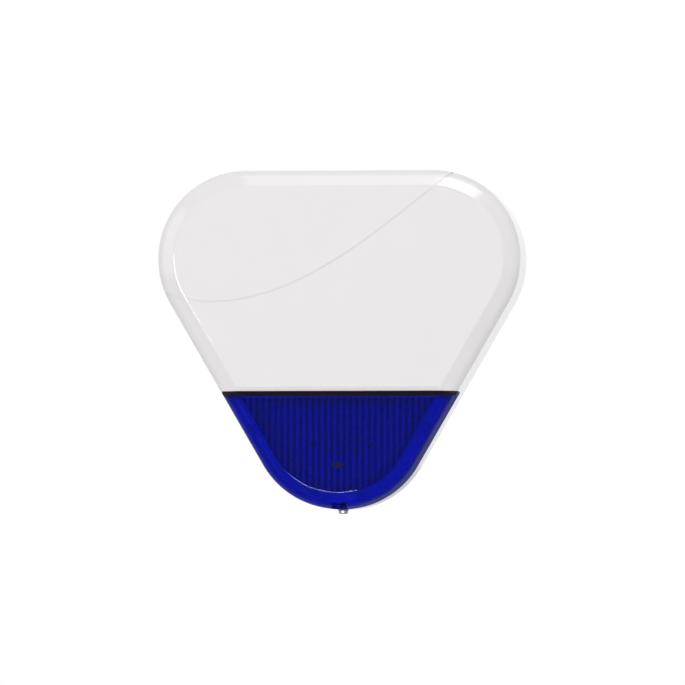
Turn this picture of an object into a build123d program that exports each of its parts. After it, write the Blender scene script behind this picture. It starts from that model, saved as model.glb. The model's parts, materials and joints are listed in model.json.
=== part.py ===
from build123d import *
import os
from math import cos, radians, sin, sqrt, tan

os.makedirs("parts", exist_ok=True)

# A delta-shaped outdoor alarm siren for a wall. Units are millimetres.
# X runs to the right, +Z up, and the cover faces -Y. The wall is the plane Y = 0.
# "Depth" below is a distance out from the wall, so depth 80 is Y = -80.
# The origin is the centre of the circle of the three wall fixings, on the back face.

# ---------------------------------------------------------------- overall sizes
face_width = 300.0
corner_radius = 72.6
total_depth = 80.0

# cover shell
cover_wall = 2.8
cover_back = 3.0
crease_inset = 13.5
flank_angle = 20.0
bullnose_radius = 9.0
crease_round = 5.0
edge_round = 1.0
groove_width = 1.1
groove_depth = 0.7
groove_reach = 64.0

# split between the white cover and the lens
cover_edge_z = -64.9
cover_flank_height = 3.6
lens_flank_height = 1.9
lens_gap = 3.75
lens_seat = 39.0
seat_gap = 0.8
lens_wall = 2.5
lip_wall = 2.0
lip_length = 7.0
lip_clearance = 0.4
lip_root = 3.0
return_wall = 2.6
flange_depth = 69.0
flange_wall = 2.0
flange_rise = 9.0
flange_clearance = 0.5
flange_gap = 0.3
rib_pitch = 2.6
rib_width = 1.2
rib_height = 0.9
rib_field_inset = 19.0
rib_root = 0.5
notch_width = 13.5
notch_height = 4.5
notch_depth = 24.0
window_width = 10.4
window_height = 5.0
window_flat = 3.8
window_z = -125.6
window_sink = 0.6
gasket_thickness = 2.5
gasket_inset = 0.6
lens_boss_radius = 4.0
lens_boss_rise = 4.5
lens_screw_x = 46.0
lens_lug_inset = 5.0
lens_lug_thickness = 8.0
lens_ear_thickness = 5.0
lens_head_space = 3.0
lug_reach = 12.0
ear_reach = 6.0

# base plate
plate_thickness = 3.0
base_clearance = 1.2
rim_wall = 2.0
rim_height = 13.0
rim_top_z = 94.0
plate_top_drop = 7.2
fixing_circle_radius = 90.0
fixing_hole_radius = 2.75
fixing_boss_radius = 8.0
fixing_boss_depth = 8.0
entry_radius = 10.0
entry_collar_wall = 3.0
entry_collar_depth = 10.0
entry_z = -36.0

# hinge across the top edge
hinge_depth = 6.5
hinge_drop = 3.5
hinge_x = 72.0
knuckle_radius = 3.2
knuckle_length = 8.0
knuckle_end_wall = 1.2
lug_width = 11.4
lug_side_gap = 0.4
lug_radius = 3.0
lug_foot_height = 8.0
pin_radius = 1.5
pin_running_gap = 0.05
pin_engagement = 6.0
lug_front_gap = 1.6

# cover screw under the bottom corner
screw_depth = 30.0
screw_radius = 2.0
screw_head_radius = 3.8
screw_head_height = 2.8
screw_slot_clearance = 0.5
screw_slot_height = 8.0
washer_radius = 4.4
washer_thickness = 0.7
boss_half_width = 10.5
boss_front = 38.0
boss_gap = 3.6
boss_height = 9.0
insert_radius = 3.2
insert_length = 8.0
insert_recess = 0.5
boss_bore_gap = 0.4
boss_web = 2.4
thread_gap = 0.05

# sounder
sounder_z = 34.0
sounder_radius = 36.0
sounder_back = 10.0
sounder_front = 40.0
sounder_wall = 2.2
sounder_ear_reach = 43.0
sounder_ear_radius = 5.5
ear_thickness = 3.0
ear_root_share = 0.7
throat_radius = 9.0
horn_wall = 1.8
horn_lip = 3.0
plug_radius = 5.5
disc_radius = 30.0
disc_thickness = 0.6
ceramic_radius = 18.6
ceramic_thickness = 0.4
ledge_depth = 5.0
ledge_width = 2.0
horn_setback = 7.5
horn_arm_width = 1.6
sounder_pilot = 6.0

# battery pack of six cells in a row, on their sides
cell_radius = 7.25
cell_length = 50.5
cell_pitch = 14.6
cell_count = 6
sleeve_wall = 0.4
pack_x = -86.5
pack_bottom_z = -8.0
pack_lift = 1.0
cradle_wall = 2.2
cradle_height = 13.0
side_wall_length = 16.0
side_wall_inset = 18.0
rail_reach = 20.0
strap_width = 12.0
strap_thickness = 2.0
strap_overrun = 14.0
strap_lift = 0.3
strap_post_radius = 4.0
pack_gap = 0.5
cell_nose_radius = 2.8
cell_nose_length = 1.2
sleeve_setback = 3.0

# control board
board_left = 52.0
board_width = 60.0
board_bottom_z = -12.0
board_height = 96.0
board_thickness = 1.6
board_depth = 12.0
board_corner_inset = 5.0
standoff_radius = 3.6
terminal_count = 8
terminal_pitch = 5.08
terminal_depth = 9.0
terminal_height = 12.0
terminal_rise = 16.0
terminal_screw_radius = 1.85
terminal_screw_sink = 1.2
terminal_slot_width = 0.7
terminal_slot_depth = 0.8
wire_hole_width = 3.2
chip_places = ((66.0, 34.0, 8.0, 12.0), (66.0, 54.0, 6.0, 5.0), (104.0, 44.0, 5.0, 6.5))
chip_thickness = 1.8
chip_leg_pitch = 1.6
chip_leg_length = 1.4
chip_leg_root = 0.2
chip_leg_width = 0.6
chip_leg_thickness = 0.5
capacitor_places = ((70.0, 72.0), (86.0, 72.0))
capacitor_radius = 6.3
capacitor_height = 18.0
coil_place = (100.0, 62.0)
coil_radius = 6.5
coil_bore = 2.6
coil_height = 7.0
transformer_place = (86.0, 44.0)
transformer_width = 17.0
transformer_length = 14.0
transformer_height = 13.0
transformer_yoke = 3.0
transformer_leg = 2.5
winding_gap = 0.15
winding_setback = 4.0
header_places = ((57.0, 20.0), (57.0, 32.0), (57.0, 44.0))
header_width = 6.0
header_length = 7.5
header_height = 7.0
header_wall = 0.8
header_floor = 2.0

# small screws for the inner parts
small_shank_radius = 1.3
small_head_radius = 2.7
small_head_height = 1.8
small_screw_length = 8.0
small_hole_gap = 0.2
small_cross_length = 3.0
small_cross_width = 0.6
small_cross_depth = 0.9
cover_cross_length = 5.0
cover_cross_width = 0.9
cover_cross_depth = 1.3
fit_gap = 0.05
press_gap = 0.01

# tamper switches
tamper_x = 92.0
tamper_z = 20.0
tamper_body = 9.0
tamper_body_height = 11.0
tamper_floor = 2.0
plunger_radius = 2.0
plunger_gap = 0.2
plunger_tip = 30.0
post_radius = 4.0
post_gap = 0.3
wall_tamper_x = -34.0
wall_tamper_z = -64.0
wall_tamper_body = 11.0
wall_tamper_height = 12.0
wall_plunger_radius = 2.5
wall_hole_gap = 0.4
wall_tamper_roof = 1.5

# spirit level
level_z = -62.0
level_radius = 3.6
level_length = 28.0
level_lift = 1.0
level_cheek = 3.0
level_cheek_inset = 2.0
level_cheek_half = 6.0

# strobe
post_x = 24.0
strobe_z = -108.0
strobe_post_radius = 4.2
strobe_board_depth = 40.0
strobe_board_width = 62.0
strobe_board_height = 26.0
tray_inset = 21.0
tray_wall = 1.8
tray_depth = 13.0
tray_top_z = -76.0
led_radius = 2.5
led_height = 8.5
led_columns = (-12.0, 0.0, 12.0)
led_row_offset = 5.5
led_hole_gap = 0.4
tray_gap = 0.4
tray_foot_radius = 3.5

# insulated leads
lead_radius = 0.8
lead_gap = 0.15
lead_header_gap = 0.6
lead_bend = 0.45

# ---------------------------------------------------------------- derived sizes
corner_spacing = face_width - 2 * corner_radius
centre_inradius = corner_spacing / (2 * sqrt(3))
half_height_up = centre_inradius + corner_radius
bottom_centre_z = -2 * centre_inradius
bottom_z = bottom_centre_z - corner_radius
lens_top_z = cover_edge_z - lens_gap
lip_inset = cover_wall + lip_clearance
base_inset = cover_wall + base_clearance
hinge_z = half_height_up - hinge_drop
plate_top_z = half_height_up - plate_top_drop
boss_bottom_z = bottom_z + cover_wall + boss_gap
boss_top_z = boss_bottom_z + boss_height
washer_top_z = bottom_z
washer_bottom_z = washer_top_z - washer_thickness
board_face = board_depth + board_thickness
terminal_x = board_left + board_width / 2
terminal_z = board_bottom_z + terminal_rise
header_end = header_places[0][0] - header_width / 2 - lead_header_gap
cell_depth = plate_thickness + pack_lift + cell_radius + sleeve_wall
pack_top_z = pack_bottom_z + (cell_count - 1) * cell_pitch + 2 * cell_radius
strap_depth = cell_depth + cell_radius + sleeve_wall + strap_lift
tray_floor = strobe_board_depth + board_thickness + tray_gap
screw_hole_radius = small_shank_radius + small_hole_gap

# ---------------------------------------------------------------- lead routes, as X, depth and Z
battery_route = (
    (pack_x + cell_length / 2 + 0.4, cell_depth, -2.0),
    (-53.0, 11.5, -4.5),
    (-45.0, 6.0, -17.0),
    (-5.0, 5.0, -18.8),
    (36.0, 5.5, -17.5),
    (46.0, 8.0, -6.0),
    (47.5, 14.5, 12.0),
    (header_end, 16.5, header_places[0][1]),
)
sounder_route = (
    (31.2, 14.0, 14.3),
    (38.0, 14.5, 12.0),
    (43.0, 15.5, 21.0),
    (48.0, 17.0, 30.5),
    (header_end, 16.5, header_places[1][1]),
)
strobe_route = (
    (26.0, strobe_board_depth - 2.1, strobe_z + 11.0),
    (31.0, 34.0, -84.0),
    (41.0, 21.0, -60.0),
    (45.5, 15.0, -32.0),
    (42.0, 10.0, 2.0),
    (43.0, 9.5, 27.0),
    (47.5, 14.5, 41.0),
    (header_end - 1.0, 16.5, header_places[2][1]),
)


# ---------------------------------------------------------------- shape helpers
def slab(sketch, near, far):
    """Extrude a sketch drawn in X and Z from one depth to another."""
    return extrude(Plane.XZ.offset(near) * sketch, far - near)


def block(x_low, x_high, near, far, z_low, z_high):
    """A box between two X values, two depths and two heights."""
    middle = ((x_low + x_high) / 2, -(near + far) / 2, (z_low + z_high) / 2)
    return Pos(*middle) * Box(x_high - x_low, far - near, z_high - z_low)


def rod_out(x, z, radius, near, far):
    """A round rod that points away from the wall."""
    return slab(Pos(x, z) * Circle(radius), near, far)


def rod_across(depth, z, radius, x_low, x_high):
    """A round rod along X."""
    return extrude(Plane.YZ.offset(x_low) * Pos(-depth, z) * Circle(radius), x_high - x_low)


def rod_up(x, depth, radius, z_low, z_high):
    """A round rod along Z."""
    return extrude(Plane.XY.offset(z_low) * Pos(x, -depth) * Circle(radius), z_high - z_low)


def delta_outline(inset):
    """The rounded triangle, point down, drawn in from the outer edge by a distance."""
    reach = 2 * (half_height_up - inset)
    corners = [(reach * cos(radians(a)), reach * sin(radians(a))) for a in (-90, 30, 150)]
    triangle = Polygon(*corners, align=None)
    return fillet(triangle.vertices(), corner_radius - inset)


def delta_ring(outer_inset, inner_inset, near, far):
    """An upright band that follows the outline."""
    return slab(delta_outline(outer_inset) - delta_outline(inner_inset), near, far)


def cover_form(inset, near, far):
    """The solid shape of the cover: flat front, soft crease, sloping flank and rounded shoulder."""
    form = slab(delta_outline(inset), near, far)
    flank = crease_inset - inset * (1 + tan(radians(flank_angle / 2)))
    drop = flank * tan(radians(flank_angle))
    front = form.faces().sort_by(Axis.Y)[0]
    form = chamfer(front.edges(), flank, drop, reference=front)
    shoulder = form.edges().filter_by_position(Axis.Y, drop - far - 0.01, drop - far + 0.01)
    form = fillet(shoulder, bullnose_radius - inset)
    crease = form.faces().sort_by(Axis.Y)[0].edges()
    return fillet(crease, crease_round)


def below(z):
    """Everything under a height, as a large box."""
    return block(-face_width, face_width, -total_depth, 2 * total_depth, z - face_width, z)


def save(shape, name):
    export_step(shape.solid(), f"parts/{name}.step")


def save_group(shapes, name):
    solids = []
    for shape in shapes:
        solids.extend(shape.solids())
    export_step(Compound(children=solids), f"parts/{name}.step")


# ---------------------------------------------------------------- fastener places
def fixing_places():
    return [
        (fixing_circle_radius * cos(radians(a)), fixing_circle_radius * sin(radians(a)))
        for a in (90, 210, 330)
    ]


def board_screw_places():
    left = board_left + board_corner_inset
    right = board_left + board_width - board_corner_inset
    low = board_bottom_z + board_corner_inset
    high = board_bottom_z + board_height - board_corner_inset
    return [(left, low), (right, low), (left, high), (right, high)]


def sounder_ear_places():
    return [
        (sounder_ear_reach * cos(radians(a)), sounder_z + sounder_ear_reach * sin(radians(a)))
        for a in (30, 150, 270)
    ]


def strap_screw_places():
    return [(pack_x, pack_bottom_z - strap_overrun / 2 - 1), (pack_x, pack_top_z + strap_overrun / 2 + 1)]


def strobe_screw_places():
    return [(-post_x, strobe_z), (post_x, strobe_z)]


def upper_lens_screw_places():
    z = cover_edge_z + flange_rise - lens_boss_rise
    return [(-lens_screw_x, z), (lens_screw_x, z)]


def lower_lens_screw_places():
    reach = half_height_up - lip_inset - lip_wall - lens_lug_inset
    along = lens_screw_x
    right = (
        reach * cos(radians(-30)) - along * sin(radians(30)),
        reach * sin(radians(-30)) - along * cos(radians(30)),
    )
    return [(-right[0], right[1]), right]


def small_screw(x, z, seat_depth, length=small_screw_length):
    """A pan-head screw that points to the wall, its head resting at a depth."""
    head = rod_out(x, z, small_head_radius, seat_depth, seat_depth + small_head_height)
    head = fillet(head.edges().sort_by(Axis.Y)[0], small_head_height * 0.6)
    top = seat_depth + small_head_height
    for width, height in ((small_cross_length, small_cross_width), (small_cross_width, small_cross_length)):
        half = width / 2
        head -= block(x - half, x + half, top - small_cross_depth, top + 1, z - height / 2, z + height / 2)
    return head + rod_out(x, z, small_shank_radius, seat_depth - length, seat_depth + 0.2)


def pilot(x, z, near, far):
    return rod_out(x, z, small_shank_radius + fit_gap, near, far)


# ---------------------------------------------------------------- the cover
def swoosh_groove():
    """A fine moulded line that sweeps across the front and over both shoulders."""
    line = Spline((-152, 21), (-101, 9), (-32, 27), (51, 81), (104, 122))
    strip = slab(trace(line, groove_width), groove_reach, total_depth + 1)
    skin = cover_form(0, cover_back, total_depth) - cover_form(
        groove_depth, cover_back - 1, total_depth - groove_depth
    )
    return strip & skin


def edge_profile(points):
    """A face drawn in depth and Z, turned into a bar across the whole width."""
    face = make_face(Polyline([(-depth, z) for depth, z in points], close=True))
    return extrude(Plane.YZ.offset(-face_width) * face, 2 * face_width)


def lower_edge_tool():
    """Cuts the cover away where the lens sits, and slopes and rounds the edge above it."""
    lip_depth = total_depth - cover_flank_height * tan(radians(flank_angle))
    far = total_depth + 5
    points = [
        (lens_seat, bottom_z - 10),
        (lens_seat, cover_edge_z),
        (lip_depth, cover_edge_z),
        (total_depth, cover_edge_z + cover_flank_height),
        (far, cover_edge_z + cover_flank_height),
        (far, bottom_z - 10),
    ]
    tool = edge_profile(points)
    lip = tool.edges().filter_by(Axis.X).sort_by_distance((0, -lip_depth, cover_edge_z))[0]
    return fillet(lip, edge_round)


def lens_edge_tool():
    """Slopes the top edge of the lens as its flank slopes."""
    lip_depth = total_depth - lens_flank_height * tan(radians(flank_angle))
    far = total_depth + 5
    points = [
        (total_depth, lens_top_z - lens_flank_height),
        (lip_depth, lens_top_z),
        (lip_depth, lens_top_z + 1),
        (far, lens_top_z + 1),
        (far, lens_top_z - lens_flank_height),
    ]
    return edge_profile(points)


def hinge_notch(x):
    half = lug_width / 2 + lug_side_gap
    return block(
        x - half,
        x + half,
        cover_back - 1,
        hinge_depth + lug_radius + lug_front_gap,
        hinge_z - knuckle_radius - 1,
        half_height_up + 1,
    )


def side_web(x, z, reach):
    """A flat web from a lug to the lower side wall beside it."""
    turn = -30 if x > 0 else 210
    return Pos(x, z) * Rot(0, 0, turn) * Pos(reach / 2, 0) * Rectangle(reach, 2 * lens_boss_radius)


def front_cover():
    outer = cover_form(0, cover_back, total_depth)
    inner = cover_form(cover_wall, cover_back - 1, total_depth - cover_wall)
    shell = outer - inner
    shell += inner & block(
        -face_width,
        face_width,
        flange_depth + flange_gap,
        total_depth,
        cover_edge_z,
        cover_edge_z + return_wall,
    )
    shell -= lower_edge_tool()
    half_run = lug_width / 2 + knuckle_length
    for x in (-hinge_x, hinge_x):
        shell += rod_across(hinge_depth, hinge_z, knuckle_radius, x - half_run, x + half_run)
        shell -= hinge_notch(x)
        bore_half = half_run - knuckle_end_wall
        shell -= rod_across(hinge_depth, hinge_z, pin_radius + pin_running_gap, x - bore_half, x + bore_half)
    shell += rod_out(tamper_x, tamper_z, post_radius, plunger_tip + post_gap, total_depth - 1)
    for x, z in upper_lens_screw_places():
        shell += rod_out(x, z, lens_boss_radius, flange_depth + flange_gap, total_depth - 1)
        shell -= pilot(x, z, flange_depth - 1, flange_depth + small_screw_length - 1)
    lug_top = lens_seat - lens_head_space - lens_ear_thickness
    lug_foot = lug_top - lens_lug_thickness
    for x, z in lower_lens_screw_places():
        lug = rod_out(x, z, lens_boss_radius, lug_foot, lug_top)
        lug += slab(side_web(x, z, lug_reach), lug_foot, lug_top) & outer
        shell += lug
        shell -= pilot(x, z, lug_foot + 1, lens_seat)
    slot = screw_radius + screw_slot_clearance
    slot_top = bottom_z + screw_slot_height
    shell -= rod_up(0, screw_depth, slot, bottom_z - 1, slot_top)
    shell -= block(-slot, slot, cover_back - 1, screw_depth, bottom_z - 1, slot_top)
    shell -= swoosh_groove()
    return shell


# ---------------------------------------------------------------- the lens
def lens_ribs():
    """Fine upright flutes on the inside of the lens front."""
    crest = total_depth - lens_wall - rib_height
    field = slab(delta_outline(rib_field_inset), crest, total_depth - lens_wall + rib_root)
    half_width = (half_height_up - rib_field_inset + lens_top_z / 2) / cos(radians(30))
    count = int(half_width / rib_pitch)
    top = lens_top_z - return_wall - rib_root
    ribs = []
    for index in range(-count, count + 1):
        x = index * rib_pitch
        ribs.append(block(x - rib_width / 2, x + rib_width / 2, crest - 1, total_depth, bottom_z, top))
    return [rib & field for rib in ribs]


def flange_form():
    """The room inside the cover's wall for the lens flange."""
    return cover_form(cover_wall + flange_clearance, 0, total_depth - cover_wall)


def lens_shell():
    """The lens skin, cut off square below the cover at its sides and lower down on its front."""
    seat = lens_seat + seat_gap
    side_top = cover_edge_z - seat_gap
    outer = cover_form(0, cover_back, total_depth)
    inner = cover_form(lens_wall, cover_back - 1, total_depth - lens_wall)
    side = block(-face_width, face_width, seat, flange_depth, bottom_z - 1, side_top)
    front = block(-face_width, face_width, flange_depth, total_depth + 1, bottom_z - 1, lens_top_z)
    shell = (outer - inner) & (side + front)
    root_z = lens_top_z - return_wall
    shell += inner & block(-face_width, face_width, flange_depth, total_depth, root_z, lens_top_z)
    flange_back = flange_depth - flange_wall
    shell += outer & block(-face_width, face_width, flange_back, flange_depth, root_z, side_top)
    shell += flange_form() & block(
        -face_width, face_width, flange_back, flange_depth, root_z, cover_edge_z + flange_rise
    )
    return shell


def lens_lip():
    """A lip that slides inside the cover's wall, broken where the cover screw's boss passes."""
    seat = lens_seat + seat_gap
    lip = delta_ring(lip_inset, lip_inset + lip_wall, lens_seat - lip_length, seat + lip_root)
    lip -= block(-boss_half_width, boss_half_width, 0, lens_seat, bottom_z, boss_top_z)
    lip += delta_ring(0, lip_inset + lip_wall, seat, seat + lip_root)
    return lip & below(cover_edge_z - seat_gap)


def strobe_lens():
    shell = lens_shell() + lens_lip()
    for rib in lens_ribs():
        shell += rib
    ear_front = lens_seat - lens_head_space
    ear_back = ear_front - lens_ear_thickness + fit_gap
    for x, z in lower_lens_screw_places():
        ear = rod_out(x, z, lens_boss_radius, ear_back, ear_front)
        web = slab(side_web(x, z, ear_reach), ear_back, ear_front)
        ear += web & slab(delta_outline(lip_inset), 0, total_depth)
        shell += ear
        shell -= rod_out(x, z, screw_hole_radius, ear_back - 1, lens_seat)
    for x, z in upper_lens_screw_places():
        shell -= rod_out(x, z, screw_hole_radius, flange_depth - flange_wall - 1, flange_depth + 1)
    notch_half = notch_width / 2
    notch_back = total_depth - notch_depth
    notch_top = bottom_z + notch_height
    shell -= block(-notch_half, notch_half, notch_back, total_depth + 1, bottom_z - 1, notch_top)
    shell -= slab(window_outline(0), total_depth - lens_wall - 2, total_depth + 1)
    return shell - lens_edge_tool()


def window_outline(gap):
    """A flattened hexagon."""
    half_w = window_width / 2 - gap
    half_h = window_height / 2 - gap
    shoulder = window_flat / 2
    points = [
        (half_w, 0),
        (shoulder, half_h),
        (-shoulder, half_h),
        (-half_w, 0),
        (-shoulder, -half_h),
        (shoulder, -half_h),
    ]
    return Pos(0, window_z) * Polygon(*points, align=None)


def status_window():
    return slab(window_outline(fit_gap), total_depth - 2 * lens_wall, total_depth - window_sink)


def lens_gasket():
    """A strip that lies in the bottom of the groove between the cover and the lens."""
    top = flange_depth + gasket_thickness
    strip = block(-face_width, face_width, flange_depth, top, lens_top_z, cover_edge_z)
    return strip & cover_form(gasket_inset, cover_back, total_depth - gasket_inset)


def lens_screws():
    screws = [small_screw(x, z, 0) for x, z in upper_lens_screw_places()]
    turned = []
    for screw, (x, z) in zip(screws, upper_lens_screw_places()):
        # these are driven from behind, so they point away from the wall
        turned.append(Pos(0, -(flange_depth - flange_wall), 0) * mirror(screw, Plane.XZ))
    for x, z in lower_lens_screw_places():
        turned.append(small_screw(x, z, lens_seat - lens_head_space))
    return turned


# ---------------------------------------------------------------- the base plate
def hinge_lug(x):
    """An ear on the plate's top edge that carries one hinge pin."""
    half = lug_width / 2
    foot = block(x - half, x + half, 0, hinge_depth + lug_radius, plate_top_z - lug_foot_height, hinge_z)
    ear = foot + rod_across(hinge_depth, hinge_z, lug_radius, x - half, x + half)
    ear -= block(x - half, x + half, -1, hinge_depth - lug_radius, plate_top_z, hinge_z + 5)
    return ear - rod_across(hinge_depth, hinge_z, pin_radius + press_gap, x - half - 1, x + half + 1)


def backplate():
    trimmed = below(plate_top_z)
    plate = slab(delta_outline(base_inset), 0, plate_thickness) & trimmed
    rim = delta_ring(base_inset, base_inset + rim_wall, 0, rim_height)
    plate += rim & below(rim_top_z)
    for x in (-hinge_x, hinge_x):
        plate += hinge_lug(x)
    for x, z in fixing_places():
        plate += rod_out(x, z, fixing_boss_radius, 0, fixing_boss_depth)
    plate += rod_out(0, entry_z, entry_radius + entry_collar_wall, 0, entry_collar_depth)
    for x, z in board_screw_places():
        plate += rod_out(x, z, standoff_radius, 0, board_depth)
    for x, z in sounder_ear_places():
        plate += rod_out(x, z, sounder_ear_radius - 1, 0, sounder_back)
    for x, z in strap_screw_places():
        plate += rod_out(x, z, strap_post_radius, 0, strap_depth)
    for x, z in strobe_screw_places():
        plate += rod_out(x, z, strobe_post_radius, 0, strobe_board_depth)
    plate += battery_cradle()
    plate += level_cradle()
    plate += block(-boss_half_width, boss_half_width, 0, boss_front, boss_bottom_z, boss_top_z)
    half_web = boss_web / 2
    plate += block(-half_web, half_web, 0, boss_front - 6, boss_top_z - 1, boss_top_z + 10)
    for x, z in fixing_places():
        plate -= rod_out(x, z, fixing_hole_radius, -1, fixing_boss_depth + 1)
    plate -= rod_out(0, entry_z, entry_radius, -1, entry_collar_depth + 1)
    for x, z in board_screw_places():
        plate -= pilot(x, z, board_depth - small_screw_length, board_depth + 1)
    for x, z in sounder_ear_places():
        plate -= pilot(x, z, sounder_back - sounder_pilot, sounder_back + 1)
    for x, z in strap_screw_places():
        plate -= pilot(x, z, strap_depth - small_screw_length, strap_depth + 1)
    for x, z in strobe_screw_places():
        plate -= pilot(x, z, strobe_board_depth - small_screw_length, strobe_board_depth + 1)
    plate -= rod_up(0, screw_depth, insert_radius, boss_bottom_z - 1, boss_bottom_z + insert_length)
    plate -= rod_up(0, screw_depth, screw_radius + boss_bore_gap, boss_bottom_z, boss_top_z + 1)
    hole = wall_plunger_radius + wall_hole_gap
    plate -= rod_out(wall_tamper_x, wall_tamper_z, hole, -1, plate_thickness + 1)
    return plate


def battery_cradle():
    half = cell_length / 2
    low = pack_bottom_z - pack_gap
    high = pack_top_z + pack_gap
    left = pack_x - half - pack_gap
    right = pack_x + half + pack_gap
    walls = block(left, right, 0, cradle_height, low - cradle_wall, low)
    walls += block(left, right, 0, cradle_height, high, high + cradle_wall)
    reach = side_wall_length / 2
    for z in (pack_bottom_z + side_wall_inset, pack_top_z - side_wall_inset):
        walls += block(left - cradle_wall, left, 0, cradle_height, z - reach, z + reach)
        walls += block(right, right + cradle_wall, 0, cradle_height, z - reach, z + reach)
    for index in (1, cell_count - 2):
        z = cell_centre_z(index)
        rest = plate_thickness + pack_lift
        walls += block(pack_x - rail_reach, pack_x + rail_reach, 0, rest, z - 1, z + 1)
    return walls


def level_cradle():
    half = level_length / 2
    axis_depth = plate_thickness + level_lift + level_radius
    low = level_z - level_cheek_half
    high = level_z + level_cheek_half
    near = half - level_cheek_inset - level_cheek
    cradle = block(-near - level_cheek, -near, 0, axis_depth, low, high)
    cradle += block(near, near + level_cheek, 0, axis_depth, low, high)
    return cradle - rod_across(axis_depth, level_z, level_radius + fit_gap, -half, half)


def level_vial():
    half = level_length / 2
    axis_depth = plate_thickness + level_lift + level_radius
    vial = rod_across(axis_depth, level_z, level_radius, -half, half)
    return fillet(vial.edges().filter_by(GeomType.CIRCLE), level_radius * 0.7)


def hinge_pins():
    half = lug_width / 2 + lug_side_gap + pin_engagement
    return [rod_across(hinge_depth, hinge_z, pin_radius, x - half, x + half) for x in (-hinge_x, hinge_x)]


# ---------------------------------------------------------------- the cover screw
def thread_insert():
    body = rod_up(0, screw_depth, insert_radius - press_gap, boss_bottom_z, boss_bottom_z + insert_length)
    return body - rod_up(0, screw_depth, screw_radius + thread_gap, boss_bottom_z - 1, boss_top_z)


def cover_screw():
    seat = washer_bottom_z
    head = rod_up(0, screw_depth, screw_head_radius, seat - screw_head_height, seat)
    head = fillet(head.edges().sort_by(Axis.Z)[0], screw_head_height * 0.55)
    low = seat - screw_head_height
    top = low + cover_cross_depth
    for width, length in ((cover_cross_length, cover_cross_width), (cover_cross_width, cover_cross_length)):
        half = length / 2
        head -= block(-width / 2, width / 2, screw_depth - half, screw_depth + half, low - 1, top)
    shank = rod_up(0, screw_depth, screw_radius, seat - 0.2, boss_bottom_z + insert_length - insert_recess)
    return head + shank


def screw_washer():
    ring = rod_up(0, screw_depth, washer_radius, washer_bottom_z, washer_top_z)
    return ring - rod_up(0, screw_depth, screw_radius + thread_gap, washer_bottom_z - 1, washer_top_z + 1)


# ---------------------------------------------------------------- the sounder
def sounder_housing():
    cup = rod_out(0, sounder_z, sounder_radius, sounder_back, sounder_front)
    inner_radius = sounder_radius - sounder_wall
    cup -= rod_out(0, sounder_z, inner_radius, sounder_back + sounder_wall, sounder_front + 1)
    for x, z in sounder_ear_places():
        root_x = x * ear_root_share
        root_z = sounder_z + (z - sounder_z) * ear_root_share
        tip = Pos(x, z) * Circle(sounder_ear_radius)
        root = Pos(root_x, root_z) * Circle(sounder_ear_radius)
        ear = slab(make_hull(tip.edges() + root.edges()), sounder_back, sounder_back + ear_thickness)
        cup += ear - rod_out(0, sounder_z, sounder_radius - sounder_wall / 2, 0, total_depth)
        cup -= rod_out(x, z, screw_hole_radius, 0, total_depth)
    ledge = rod_out(0, sounder_z, sounder_radius - sounder_wall, 0, sounder_back + ledge_depth)
    ledge -= rod_out(0, sounder_z, disc_radius - ledge_width, -1, total_depth)
    cup += ledge & rod_out(0, sounder_z, sounder_radius, sounder_back + sounder_wall, total_depth)
    return cup


def piezo_disc():
    near = sounder_back + ledge_depth
    far = near + disc_thickness
    disc = rod_out(0, sounder_z, disc_radius, near, far)
    return disc + rod_out(0, sounder_z, ceramic_radius, far, far + ceramic_thickness)


def sounder_horn():
    """A flared horn with a bullet in its throat on three thin arms."""
    rear = sounder_back + horn_setback
    outer = sounder_radius - sounder_wall - fit_gap
    mouth = outer - horn_lip
    middle = (throat_radius + mouth) / 2 - 2
    middle_depth = sounder_front - 9
    lip_back = sounder_front - 1.5
    lip_front = sounder_front + 1.0
    outline = Line((throat_radius, -rear), (throat_radius + horn_wall, -rear))
    outline += Spline(
        (throat_radius + horn_wall, -rear), (middle + horn_wall, -middle_depth), (mouth, -lip_back)
    )
    outline += Polyline((mouth, -lip_back), (outer, -lip_back), (outer, -lip_front), (mouth, -lip_front))
    outline += Spline((mouth, -lip_front), (middle, -middle_depth - 0.6), (throat_radius, -rear))
    horn = Pos(0, 0, sounder_z) * revolve(make_face(outline), Axis.Y)
    nose = rear + 5
    horn += Pos(0, -nose, sounder_z) * Sphere(plug_radius)
    for angle in (90, 210, 330):
        arm = Pos(0, sounder_z) * Rot(0, 0, angle) * Pos(6, 0) * Rectangle(12, horn_arm_width)
        horn += slab(arm, nose - 3, nose - 0.5) & rod_out(0, sounder_z, throat_radius + 1, 0, total_depth)
    return horn


# ---------------------------------------------------------------- battery
def cell_centre_z(index):
    return pack_bottom_z + cell_radius + index * cell_pitch


def battery_cells():
    half = cell_length / 2
    cells = []
    for index in range(cell_count):
        z = cell_centre_z(index)
        shoulder = pack_x - half + cell_nose_length
        cell = rod_across(cell_depth, z, cell_radius, shoulder, pack_x + half - fit_gap)
        cell += rod_across(cell_depth, z, cell_nose_radius, pack_x - half, shoulder + 1)
        cells.append(cell)
    return cells


def battery_sleeve():
    half = cell_length / 2 - sleeve_setback
    low = cell_centre_z(0)
    high = cell_centre_z(cell_count - 1)
    length = high - low
    middle = Plane.YZ.offset(pack_x - half) * Pos(-cell_depth, (low + high) / 2)
    outer = SlotCenterToCenter(length, 2 * (cell_radius + sleeve_wall), rotation=90)
    inner = SlotCenterToCenter(length, 2 * (cell_radius + fit_gap), rotation=90)
    return extrude(middle * (outer - inner), 2 * half)


def battery_strap():
    low = pack_bottom_z - strap_overrun
    high = pack_top_z + strap_overrun
    bar = Pos(pack_x, (low + high) / 2) * RectangleRounded(strap_width, high - low, strap_width * 0.45)
    strap = slab(bar, strap_depth, strap_depth + strap_thickness)
    for x, z in strap_screw_places():
        strap -= rod_out(x, z, screw_hole_radius, 0, total_depth)
    return strap


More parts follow.
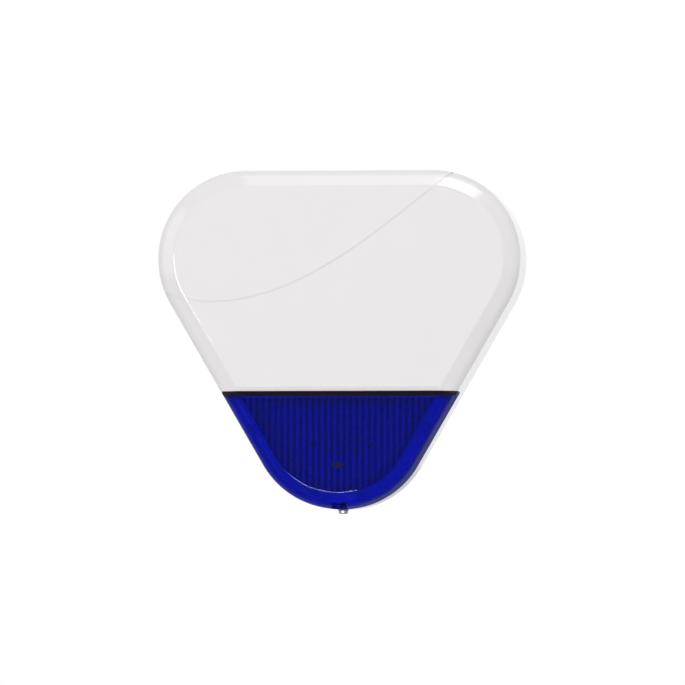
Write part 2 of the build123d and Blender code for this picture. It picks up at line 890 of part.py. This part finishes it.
# ---------------------------------------------------------------- control board
def control_board():
    middle = Pos(board_left + board_width / 2, board_bottom_z + board_height / 2)
    board = slab(middle * RectangleRounded(board_width, board_height, 2.0), board_depth, board_face)
    for x, z in board_screw_places():
        board -= rod_out(x, z, screw_hole_radius, 0, total_depth)
    return board


def on_board(x, z, width, height, thickness):
    """A block soldered to the front of the board, by its centre."""
    low = z - height / 2
    high = z + height / 2
    return block(x - width / 2, x + width / 2, board_face, board_face + thickness, low, high)


def terminal_places():
    start = terminal_x - (terminal_count - 1) * terminal_pitch / 2
    return [start + index * terminal_pitch for index in range(terminal_count)]


def terminal_block():
    width = terminal_count * terminal_pitch
    body = on_board(terminal_x, terminal_z, width, terminal_depth, terminal_height)
    top = board_face + terminal_height
    half = wire_hole_width / 2
    low = terminal_z - terminal_depth
    for x in terminal_places():
        body -= block(x - half, x + half, board_face + 2, board_face + 6, low, terminal_z)
        body -= rod_out(x, terminal_z, terminal_screw_radius + fit_gap, top - 5, top + 1)
    return body


def terminal_screws():
    top = board_face + terminal_height - terminal_screw_sink
    half = terminal_slot_width / 2
    low = terminal_z - 2 * terminal_screw_radius
    high = terminal_z + 2 * terminal_screw_radius
    screws = []
    for x in terminal_places():
        screw = rod_out(x, terminal_z, terminal_screw_radius, top - 3, top)
        screws.append(screw - block(x - half, x + half, top - terminal_slot_depth, top + 1, low, high))
    return screws


def board_chips():
    chips = []
    for x, z, width, height in chip_places:
        body = on_board(x, z, width, height, chip_thickness)
        legs = int(height / chip_leg_pitch)
        for side in (-1, 1):
            leg_x = x + side * (width + chip_leg_length - chip_leg_root) / 2
            for index in range(legs):
                leg_z = z + (index - (legs - 1) / 2) * chip_leg_pitch
                body += on_board(leg_x, leg_z, chip_leg_length, chip_leg_width, chip_leg_thickness)
        chips.append(body)
    return chips


def capacitors():
    cans = []
    for x, z in capacitor_places:
        can = rod_out(x, z, capacitor_radius, board_face, board_face + capacitor_height)
        can = fillet(can.edges().sort_by(Axis.Y)[0], 0.8)
        cans.append(can)
    return cans


def charge_coil():
    top = board_face + coil_height
    return rod_out(*coil_place, coil_radius, board_face, top) - rod_out(*coil_place, coil_bore, 0, top + 1)


def step_up_transformer():
    """A U-shaped ferrite core, its open ends on the board."""
    inner_width = transformer_width - 2 * transformer_leg
    inner_height = transformer_height - transformer_yoke
    core = on_board(*transformer_place, transformer_width, transformer_length, transformer_height)
    return core - on_board(*transformer_place, inner_width, transformer_length + 2, inner_height)


def transformer_winding():
    width = transformer_width - 2 * transformer_leg - 2 * winding_gap
    height = transformer_height - transformer_yoke - winding_gap
    return on_board(*transformer_place, width, transformer_length - winding_setback, height)


def lead_headers():
    headers = []
    well_width = header_width - 2 * header_wall
    well_length = header_length - 2 * header_wall
    for x, z in header_places:
        body = on_board(x, z, header_width, header_length, header_height)
        well = on_board(x, z, well_width, well_length, header_height + 1)
        headers.append(body - Pos(0, -header_floor, 0) * well)
    return headers


# ---------------------------------------------------------------- tamper switches
def front_tamper_switch():
    body = on_board(tamper_x, tamper_z, tamper_body, tamper_body, tamper_body_height)
    bore_end = board_face + tamper_body_height + 1
    bore = plunger_radius + plunger_gap
    return body - rod_out(tamper_x, tamper_z, bore, board_face + tamper_floor, bore_end)


def tamper_plunger():
    rod = rod_out(tamper_x, tamper_z, plunger_radius, board_face + tamper_floor + plunger_gap, plunger_tip)
    return fillet(rod.edges().sort_by(Axis.Y)[0], plunger_radius / 2)


def wall_tamper_switch():
    half = wall_tamper_body / 2
    body = block(
        wall_tamper_x - half,
        wall_tamper_x + half,
        plate_thickness,
        plate_thickness + wall_tamper_height,
        wall_tamper_z - half,
        wall_tamper_z + half,
    )
    bore_end = plate_thickness + wall_tamper_height - wall_tamper_roof
    return body - rod_out(wall_tamper_x, wall_tamper_z, wall_plunger_radius + plunger_gap, 0, bore_end)


def wall_tamper_plunger():
    inner_end = plate_thickness + wall_tamper_height - wall_tamper_roof - plunger_gap
    rod = rod_out(wall_tamper_x, wall_tamper_z, wall_plunger_radius, 0, inner_end)
    return fillet(rod.edges().sort_by(Axis.Y)[-1], wall_plunger_radius / 4)


# ---------------------------------------------------------------- strobe
def strobe_board():
    middle = Pos(0, strobe_z)
    board = slab(
        middle * RectangleRounded(strobe_board_width, strobe_board_height, 3.0),
        strobe_board_depth,
        strobe_board_depth + board_thickness,
    )
    for x, z in strobe_screw_places():
        board -= rod_out(x, z, screw_hole_radius, 0, total_depth)
    return board


def led_places():
    return [(x, strobe_z + side * led_row_offset) for x in led_columns for side in (-1, 1)]


def strobe_leds():
    base = strobe_board_depth + board_thickness
    leds = []
    for x, z in led_places():
        led = rod_out(x, z, led_radius, base, base + led_height)
        leds.append(fillet(led.edges().sort_by(Axis.Y)[0], led_radius * 0.96))
    return leds


def strobe_reflector():
    """A white tray behind the lens, with a hole for each lamp."""
    outer = slab(delta_outline(tray_inset), tray_floor, tray_floor + tray_depth) & below(tray_top_z)
    inner = slab(delta_outline(tray_inset + tray_wall), tray_floor + tray_wall, tray_floor + tray_depth + 1)
    tray = outer - (inner & below(tray_top_z - tray_wall))
    for x, z in led_places():
        tray -= rod_out(x, z, led_radius + led_hole_gap, 0, total_depth)
    for x, z in strobe_screw_places():
        tray += rod_out(x, z, tray_foot_radius, strobe_board_depth + board_thickness, tray_floor + 0.1)
        tray -= rod_out(x, z, screw_hole_radius, 0, total_depth)
    return tray


# ---------------------------------------------------------------- insulated leads
def lead(route, shift):
    """One wire along a route of X, depth and Z, moved sideways, with arcs as large as its runs allow."""
    points = [Vector(x, -depth, z) + Vector(*shift) for x, depth, z in route]
    radii = []
    for before, here, after in zip(points, points[1:], points[2:]):
        turn = (here - before).get_angle(after - here)
        shorter = min((here - before).length, (after - here).length)
        radii.append(lead_bend * shorter / tan(radians(turn / 2)))
    path = FilletPolyline(*points, radius=radii)
    section = Plane(origin=path @ 0, z_dir=path % 0) * Circle(lead_radius)
    return sweep(section, path=path)


def lead_pair(route, spread_x, spread_y, spread_z):
    """Two wires side by side, spread in a direction that lies across the whole route."""
    spread = lead_radius + lead_gap
    return [
        lead(route, (side * spread * spread_x, side * spread * spread_y, side * spread * spread_z))
        for side in (-1, 1)
    ]


# ---------------------------------------------------------------- build
def main():
    save(front_cover(), "front_cover")
    save(strobe_lens(), "strobe_lens")
    save(lens_gasket(), "lens_gasket")
    save(status_window(), "status_window")
    save_group(lens_screws(), "lens_screws")
    save(backplate(), "backplate")
    save_group(hinge_pins(), "hinge_pins")
    save(level_vial(), "level_vial")
    save(thread_insert(), "thread_insert")
    save(cover_screw(), "cover_screw")
    save(screw_washer(), "screw_washer")
    save(sounder_housing(), "sounder_housing")
    save(piezo_disc(), "piezo_disc")
    save(sounder_horn(), "sounder_horn")
    save_group(lead_pair(battery_route, 0, 1, 1), "battery_leads")
    save_group(lead_pair(sounder_route, 0, 1, 1), "sounder_leads")
    save_group(lead_pair(strobe_route, 1, 0, -1), "strobe_leads")
    save_group(battery_cells(), "battery_cells")
    save(battery_sleeve(), "battery_sleeve")
    save(battery_strap(), "battery_strap")
    save(control_board(), "control_board")
    save(terminal_block(), "terminal_block")
    save_group(terminal_screws(), "terminal_screws")
    save_group(board_chips(), "board_chips")
    save_group(capacitors(), "capacitors")
    save(charge_coil(), "charge_coil")
    save(step_up_transformer(), "step_up_transformer")
    save(transformer_winding(), "transformer_winding")
    save_group(lead_headers(), "lead_headers")
    save(front_tamper_switch(), "front_tamper_switch")
    save(tamper_plunger(), "tamper_plunger")
    save(wall_tamper_switch(), "wall_tamper_switch")
    save(wall_tamper_plunger(), "wall_tamper_plunger")
    save(strobe_board(), "strobe_board")
    save_group(strobe_leds(), "strobe_leds")
    save(strobe_reflector(), "strobe_reflector")
    save_group([small_screw(x, z, board_face) for x, z in board_screw_places()], "board_screws")
    save_group(
        [small_screw(x, z, strap_depth + strap_thickness) for x, z in strap_screw_places()], "strap_screws"
    )
    save_group(
        [small_screw(x, z, sounder_back + ear_thickness) for x, z in sounder_ear_places()], "sounder_screws"
    )
    save_group(
        [small_screw(x, z, tray_floor + tray_wall) for x, z in strobe_screw_places()], "reflector_screws"
    )


main()
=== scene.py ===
# %% [markdown]
# # A delta-shaped alarm siren
# A wall-mounted siren: a glossy white cover over the upper two thirds and a blue strobe lens below it.
# Behind them a wall plate carries the sounder, the battery and the control board.
# The engineering model is loaded first. Every piece of it keeps its place and its shape.

# %% Load the engineering model
import json
from math import cos, radians, sin

import bpy
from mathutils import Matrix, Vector


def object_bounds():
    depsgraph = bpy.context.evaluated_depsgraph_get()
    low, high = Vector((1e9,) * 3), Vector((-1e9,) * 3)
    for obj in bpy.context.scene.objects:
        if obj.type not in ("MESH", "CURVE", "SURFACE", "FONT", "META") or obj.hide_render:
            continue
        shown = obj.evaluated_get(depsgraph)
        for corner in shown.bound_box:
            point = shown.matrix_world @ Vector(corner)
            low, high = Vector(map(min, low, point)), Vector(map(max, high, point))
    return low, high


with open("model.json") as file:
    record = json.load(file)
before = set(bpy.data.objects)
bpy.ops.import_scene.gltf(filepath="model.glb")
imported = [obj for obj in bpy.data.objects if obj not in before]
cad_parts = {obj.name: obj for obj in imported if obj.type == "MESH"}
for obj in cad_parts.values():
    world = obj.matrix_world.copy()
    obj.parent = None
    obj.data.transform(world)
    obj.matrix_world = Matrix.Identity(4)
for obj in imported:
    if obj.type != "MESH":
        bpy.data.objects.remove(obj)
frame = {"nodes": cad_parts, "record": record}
cad_low, cad_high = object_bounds()
nodes = frame["nodes"]
colours = {m["slot"]: m["base_color"] for m in frame["record"]["materials"]}
slot_of = {s["node"]: s["material_slot"] for s in frame["record"]["subparts"]}
print("size in millimetres:", [round(1000 * v) for v in cad_high - cad_low])

# %% [markdown]
# ## Shader maths as plain expressions
# A material here is a small sum or product of masks and noises. Wiring Math nodes by hand hides the sum,
# so one small class wraps a socket: an expression on it adds the Math node that works it out.
# Any other node comes from one method, which takes the node's type, its settings and its inputs.


# %% A socket that can be added and multiplied
class Wire:
    """A value socket that builds Math nodes when it is used in an expression."""

    def __init__(self, nodes, socket):
        self.nodes = nodes
        self.socket = socket

    def _math(self, operation, other):
        return self.nodes.node("ShaderNodeMath", {"operation": operation}, {0: self, 1: other})

    def __add__(self, other):
        return self._math("ADD", other)

    def __mul__(self, other):
        return self._math("MULTIPLY", other)

    __radd__ = __add__
    __rmul__ = __mul__

    def either(self, other):
        return self._math("MAXIMUM", other)


class Nodes:
    """A node tree, with one method that adds any node."""

    def __init__(self, tree):
        self.tree = tree

    def node(self, kind, settings=None, inputs=None, output=0):
        made = self.tree.nodes.new(kind)
        for key, value in (settings or {}).items():
            setattr(made, key, value)
        for key, value in (inputs or {}).items():
            self.plug(made.inputs[key], value)
        return Wire(self, made.outputs[output])

    def plug(self, socket, value):
        if isinstance(value, Wire):
            self.tree.links.new(value.socket, socket)
        else:
            socket.default_value = value


print("sockets ready")


# %% [markdown]
# ## One material at a time
# Every finish starts from the same surface node. This class holds it, and gives the few things that all the
# finishes share: a place in object space, a noise, a mask with two stops, a mix of two colours, and a bump.

# %% A material
FLAT_BLACK = (0.0, 0.0, 0.0, 1.0)
PURE_WHITE = (1.0, 1.0, 1.0, 1.0)
MIX_FACTOR, MIX_FIRST, MIX_SECOND, MIX_COLOUR_OUT = 0, 6, 7, 2


class Shader(Nodes):
    """A material with its surface node and the helpers that the finishes share."""

    def __init__(self, name):
        self.material = bpy.data.materials.new(name)
        self.material.use_nodes = True
        super().__init__(self.material.node_tree)
        self.surface = self.tree.nodes["Principled BSDF"]

    def set(self, **values):
        for key, value in values.items():
            self.plug(self.surface.inputs[key.replace("_", " ")], value)

    def place(self):
        return self.node("ShaderNodeTexCoord", output="Object")

    def noise(self, scale, detail=3.0, roughness=0.5):
        inputs = {"Vector": self.place(), "Scale": scale, "Detail": detail, "Roughness": roughness}
        return self.node("ShaderNodeTexNoise", {}, inputs)

    def mask(self, value, start, end, rising=True):
        picked = self.node("ShaderNodeValToRGB", {}, {0: value})
        stops = picked.socket.node.color_ramp.elements
        for stop, place in zip(stops, (start, end)):
            stop.position = place
        stops[0].color = FLAT_BLACK if rising else PURE_WHITE
        stops[1].color = PURE_WHITE if rising else FLAT_BLACK
        return picked

    def mix(self, factor, first, second):
        inputs = {MIX_FACTOR: factor, MIX_FIRST: first, MIX_SECOND: second}
        return self.node("ShaderNodeMix", {"data_type": "RGBA"}, inputs, MIX_COLOUR_OUT)

    def bump(self, height, distance):
        inputs = {"Height": height, "Distance": distance, "Strength": 1.0}
        self.set(Normal=self.node("ShaderNodeBump", {}, inputs))


def rgba(colour, factor=1.0):
    return (colour[0] * factor, colour[1] * factor, colour[2] * factor, 1.0)


finishes = {}
print("materials ready")

# %% [markdown]
# ## Moulded plastic
# Moulded plastic is never quite even. On the real cover the pigment drifts a little, and the tool leaves a
# fine orange-peel ripple in the skin. Both come from noise in object space, so nothing needs unwrapping.
# One function makes them all, since they differ only in gloss, in mottle and in the size of the ripple.

# %% Moulded plastics
MOTTLE_SCALE = 38.0
GLOSS_SCALE = 90.0
GLOSS_SPREAD = 0.06
FINE_TEXTURE = 900.0
COVER_TINT = (0.872, 0.85, 0.856)


def moulded(slot, roughness, mottle=0.03, colour=None, ripple=0.00002, ripple_scale=260.0, mirror=0.5):
    shader = Shader(slot)
    colour = colour or colours[slot]
    cloud = shader.noise(MOTTLE_SCALE, 4.0)
    base = shader.mix(cloud, rgba(colour, 1 - mottle), rgba(colour, 1 + mottle))
    gloss = roughness - GLOSS_SPREAD / 2 + GLOSS_SPREAD * shader.noise(GLOSS_SCALE, 2.0)
    shader.set(Base_Color=base, Roughness=gloss, Specular_IOR_Level=mirror)
    shader.bump(shader.noise(ripple_scale, 3.0), ripple)
    finishes[slot] = shader.material


moulded("cover_white", 0.1, mottle=0.008, colour=COVER_TINT, ripple=0.00001, ripple_scale=120.0)
moulded("base_white", 0.45, mottle=0.02, ripple=0.00004, ripple_scale=FINE_TEXTURE)
moulded("reflector_white", 0.18, mottle=0.01)
moulded("header_white", 0.4)
moulded("board_white", 0.3)
moulded("sounder_black", 0.42, mottle=0.1, ripple=0.00004, ripple_scale=800.0)
moulded("chip_black", 0.5, mottle=0.1)
moulded("seal_rubber", 0.6, mottle=0.15, ripple=0.00003, ripple_scale=600.0, mirror=0.1)
moulded("ferrite_grey", 0.7, mottle=0.15, ripple=0.00005, ripple_scale=FINE_TEXTURE)
moulded("terminal_green", 0.4, mottle=0.05)
moulded("capacitor_sleeve", 0.25)
moulded("sleeve_blue", 0.22, ripple=0.00006, ripple_scale=60.0)
moulded("lead_red", 0.4)
moulded("lead_black", 0.4)
moulded("window_dark", 0.15, mirror=0.05)
print("plastics:", len(finishes))

# %% [markdown]
# ## Metal
# The screws are zinc-plated, the thread insert and the disc are brass, and the cells have nickel-plated cans.
# Plating has a fine grain that changes both its colour and its gloss, so one noise drives the two of them.

# %% Metals
GRAIN_SCALE = 240.0
GRAIN_SPREAD = 0.2
GRAIN_DARK, GRAIN_LIGHT = 0.8, 1.1
# Zinc is darkened to this share of its colour: painted shade for the dark reflection on the screw heads.
ZINC_PAINTED_SHADE = 0.55


# The last argument darkens the colour as painted shade; only the zinc uses it.
def metal(slot, roughness, painted_shade=1.0):
    shader = Shader(slot)
    colour = colours[slot]
    grain = shader.noise(GRAIN_SCALE, 5.0, 0.7)
    base = shader.mix(grain, rgba(colour, GRAIN_DARK * painted_shade), rgba(colour, GRAIN_LIGHT * painted_shade))
    shader.set(Base_Color=base, Metallic=1.0)
    shader.set(Roughness=roughness - GRAIN_SPREAD / 2 + GRAIN_SPREAD * grain)
    shader.bump(grain, 0.00002)
    finishes[slot] = shader.material


metal("zinc_steel", 0.4, ZINC_PAINTED_SHADE)
metal("insert_brass", 0.3)
metal("cell_metal", 0.28)
metal("copper_coil", 0.3)
print("metals done, finishes so far:", len(finishes))

# %% [markdown]
# ## The circuit board
# Green lacquer covers copper tracks that run square to each other, and it stands a little higher over them.
# A cell pattern measured in square steps gives such right-angled runs without drawing any track.

# %% The circuit board
TRACK_SCALE = 190.0
TRACK_UNEVENNESS = 0.55
TRACK_BRIGHTNESS = 1.7


def solder_mask(slot):
    shader = Shader(slot)
    colour = colours[slot]
    inputs = {"Vector": shader.place(), "Scale": TRACK_SCALE, "Randomness": TRACK_UNEVENNESS}
    cells = shader.node("ShaderNodeTexVoronoi", {"distance": "MANHATTAN", "feature": "F1"}, inputs)
    tracks = shader.mask(cells, 0.42, 0.5)
    shader.set(Base_Color=shader.mix(tracks, rgba(colour), rgba(colour, TRACK_BRIGHTNESS)), Roughness=0.3)
    shader.bump(tracks, 0.00004)
    finishes[slot] = shader.material


solder_mask("board_green")
print("board done")

# %% [markdown]
# ## Clear mouldings
# The lamps, the level vial and the lens let light through. They share one function: a clear body with a
# slightly uneven gloss. The lens mirrors less than plain plastic does, so its sheen is tinted down.

# %% Clear mouldings
PLASTIC_IOR = 1.5
LENS_SHEEN = (0.08, 0.1, 0.25)
LENS_BODY = (0.006, 0.012, 0.6)


def clear(slot, roughness, transmission, colour=None, mirror=0.5, sheen=PURE_WHITE):
    shader = Shader(slot)
    shader.set(Base_Color=rgba(colour or colours[slot]), IOR=PLASTIC_IOR, Transmission_Weight=transmission)
    shader.set(Specular_IOR_Level=mirror, Specular_Tint=rgba(sheen))
    shader.set(Roughness=roughness + 0.03 * shader.noise(60.0))
    shader.bump(shader.noise(110.0), 0.00001)
    finishes[slot] = shader.material
    return shader


clear("lamp_clear", 0.04, 0.95)
clear("vial_green", 0.03, 0.9)
lens = clear("lens_blue", 0.05, 0.8, LENS_BODY, 0.06, LENS_SHEEN)
print("clear mouldings done")

# %% [markdown]
# ## The strobe lens
# The lens is one deep blue moulding. Its flat front has fine upright ribs behind it, whose shade and light
# are painted into the colour as stripes. Its sloping rim takes a lighter blue, painted light for the light
# that gathers there, and its side walls take a flat dark blue-grey, painted shade and reflection where they
# meet the cover.
# The direction that the surface faces tells these three zones apart, so no image mask is needed.

# %% The strobe lens
RIB_SCALE = 61.0
# Dark and light copies of the panel blue: painted shade and painted light for the stripes that the inner ribs
# make.
PANEL_BLUE_RIB_SHADE, PANEL_BLUE_RIB_LIGHT = (0.003, 0.008, 0.3, 1.0), (0.007, 0.015, 0.55, 1.0)
# A lighter blue for the sloping rim: painted light, for the light that gathers in the rim.
RIM_PAINTED_LIGHT_BLUE = (0.016, 0.03, 0.85, 1.0)
# A flat dark blue-grey for the side walls: painted shade and blue-tinted reflection, in place of their glossy
# look.
SIDE_PAINTED_SHADE_BLUE = (0.075, 0.085, 0.24, 1.0)

normal = lens.node("ShaderNodeTexCoord", output="Normal")
facing_y = lens.node("ShaderNodeSeparateXYZ", {}, {0: normal}, "Y")
facing = facing_y * facing_y
# The side walls, seen edge-on, take the painted shade.
painted_shade_on_side = lens.mask(facing, 0.05, 0.25, rising=False)
on_panel = lens.mask(facing, 0.9, 0.97)
# Stripes across X: the painted shade and light of the inner ribs.
rib_inputs = {"Vector": lens.place(), "Scale": RIB_SCALE, "Distortion": 0.6, "Detail": 2.0}
painted_rib_stripes = lens.node("ShaderNodeTexWave", {"bands_direction": "X"}, rib_inputs)
panel = lens.mix(painted_rib_stripes, PANEL_BLUE_RIB_SHADE, PANEL_BLUE_RIB_LIGHT)
# The rim takes the painted light blue, and the flat front takes the striped panel blue.
lens.set(Base_Color=lens.mix(on_panel, RIM_PAINTED_LIGHT_BLUE, panel))
# The side walls' painted shade is a plain diffuse colour mixed over the lens surface.
side_painted_shade = lens.node("ShaderNodeBsdfDiffuse", {}, {"Color": SIDE_PAINTED_SHADE_BLUE})
body = Wire(lens, lens.surface.outputs[0])
with_painted_side_shade = lens.node("ShaderNodeMixShader", {}, {0: painted_shade_on_side, 1: body, 2: side_painted_shade})
lens.plug(lens.tree.nodes["Material Output"].inputs["Surface"], with_painted_side_shade)
print("finishes:", sorted(finishes))

# %% [markdown]
# ## Paint every piece
# Each engineering piece already names the finish that it takes, so one loop assigns them all.

# %% Give each piece its finish
for name, piece in nodes.items():
    piece.data.materials.clear()
    piece.data.materials.append(finishes[slot_of[name]])
print("painted", len(nodes), "pieces")

# %% [markdown]
# ## Camera
# The camera stands far off with a long lens, a little to the right and a little below, so the front stays
# almost free of perspective and a narrow strip of the right side wall shows.

# %% Camera
VIEW_AZIMUTH = radians(5.25)
VIEW_ELEVATION = radians(-1.87)
VIEW_DISTANCE = 8.0
LENS_LENGTH = 510.8
SENSOR_WIDTH = 36.0
AIM_X, AIM_Z = 0.0038, -0.0251
FAR_LIMIT = 200.0
scene = bpy.context.scene
aim = Vector((AIM_X, cad_low.y, AIM_Z))
level = cos(VIEW_ELEVATION)
back = Vector((sin(VIEW_AZIMUTH) * level, -cos(VIEW_AZIMUTH) * level, sin(VIEW_ELEVATION)))
camera = bpy.data.objects.new("camera", bpy.data.cameras.new("camera"))
camera.data.lens = LENS_LENGTH
camera.data.sensor_width = SENSOR_WIDTH
camera.data.clip_end = FAR_LIMIT
camera.location = aim + VIEW_DISTANCE * back
camera.rotation_euler = back.to_track_quat("Z", "Y").to_euler()
scene.collection.objects.link(camera)
scene.camera = camera
print("camera", [round(v, 3) for v in camera.location])

# %% [markdown]
# ## Floor
# The siren hangs free, so the floor lies well below it. It only returns some light to the underside.

# %% Floor
FLOOR_DROP = 0.35
FLOOR_REACH = 6
FLOOR_GREY = 0.86
floor_z = cad_low.z - FLOOR_DROP
corners = [(FLOOR_REACH * x, FLOOR_REACH * y, floor_z) for x, y in ((-1, -1), (1, -1), (1, 1), (-1, 1))]
floor_mesh = bpy.data.meshes.new("floor")
floor_mesh.from_pydata(corners, [], [(0, 1, 2, 3)])
floor = bpy.data.objects.new("floor", floor_mesh)
scene.collection.objects.link(floor)
floor_shader = Shader("floor")
floor_shader.set(Base_Color=rgba(PURE_WHITE, FLOOR_GREY), Roughness=0.8)
floor_mesh.materials.append(floor_shader.material)
print("floor at", round(floor_z, 3))

# %% [markdown]
# ## World and lamps
# The world gives an even light, and shows as plain white to the camera, in mirrors and through clear parts.
# Three large soft lamps shape the cover. Three small ones light reflections only, and draw the glints on
# its shoulder, on its left crease and on the lens.

# %% World
EVEN_LIGHT = 0.62
world = bpy.data.worlds.new("studio")
scene.world = world
world.use_nodes = True
sky = Nodes(world.node_tree)
even = sky.node("ShaderNodeBackground", {}, {"Color": PURE_WHITE, "Strength": EVEN_LIGHT})
white = sky.node("ShaderNodeBackground", {}, {"Color": PURE_WHITE, "Strength": 1.0})
seen = sky.node("ShaderNodeLightPath", output="Is Camera Ray")
for mirrored in ("Is Glossy Ray", "Is Transmission Ray"):
    seen = seen.either(sky.node("ShaderNodeLightPath", output=mirrored))
chosen = sky.node("ShaderNodeMixShader", {}, {0: seen, 1: even, 2: white})
sky.plug(sky.tree.nodes["World Output"].inputs["Surface"], chosen)
print("even light", EVEN_LIGHT)


# %% Lamps
def softbox(name, place, size, power, mirror_only=False):
    lamp = bpy.data.lights.new(name, "AREA")
    lamp.shape = "RECTANGLE"
    lamp.size, lamp.size_y = size
    lamp.energy = power
    holder = bpy.data.objects.new(name, lamp)
    holder.location = place
    holder.visible_diffuse = not mirror_only
    holder.visible_transmission = not mirror_only
    holder.rotation_euler = Vector(place).to_track_quat("Z", "Y").to_euler()
    scene.collection.objects.link(holder)


softbox("lamp_top", (0.35, -1.3, 1.9), (1.6, 0.9), 9.0)
softbox("lamp_left", (-2.2, -1.8, 0.5), (1.2, 1.6), 7.0)
softbox("lamp_front", (0.4, -3.2, 0.2), (2.4, 2.4), 14.0)
softbox("strip_shoulder", (0.5, -1.9, 1.62), (1.2, 0.3), 24.0, mirror_only=True)
softbox("strip_crease", (-0.95, -2.7, -0.05), (0.3, 0.3), 8.0, mirror_only=True)
softbox("strip_lens", (-0.19, -0.83, -0.43), (0.42, 0.12), 9.5, mirror_only=True)
scene.view_settings.view_transform = "Standard"
print("lamps:", len(bpy.data.lights))
